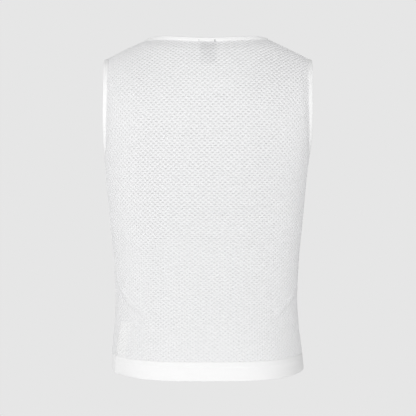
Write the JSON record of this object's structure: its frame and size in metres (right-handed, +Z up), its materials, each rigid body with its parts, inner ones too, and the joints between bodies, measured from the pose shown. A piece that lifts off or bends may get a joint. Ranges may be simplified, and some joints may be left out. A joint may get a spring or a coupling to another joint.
{
  "type": "sleeveless base layer",
  "caption": "Sleeveless base layer top in white net, hollow and filled out as worn, with bound neck and armholes and a plain hem band.",
  "frame": {"origin": "midway between the two high shoulder points, on the seam plane, where the wearer's shoulders carry the garment", "axes": "+Z up from hem to shoulders, +X towards the wearer's left, the wearer faces -Y, so the back of the garment looks along +Y"},
  "size_m": [0.3625, 0.2412, 0.5774],
  "materials": {
    "net": "matt white knitted net with small staggered holes",
    "binding": "soft white elastic binding",
    "hem": "plain white fine knit",
    "neck_label": "light grey woven tape, blank",
    "care_label": "white satin tape, blank"
  },
  "bodies": {
    "root": {"back_panel": "net", "front_panel": "net", "neck_binding": "binding", "armhole_binding_left": "binding", "armhole_binding_right": "binding", "hem_band_back": "hem", "hem_band_front": "hem", "neck_label": "neck_label", "care_label": "care_label"}
  },
  "joints": []
}
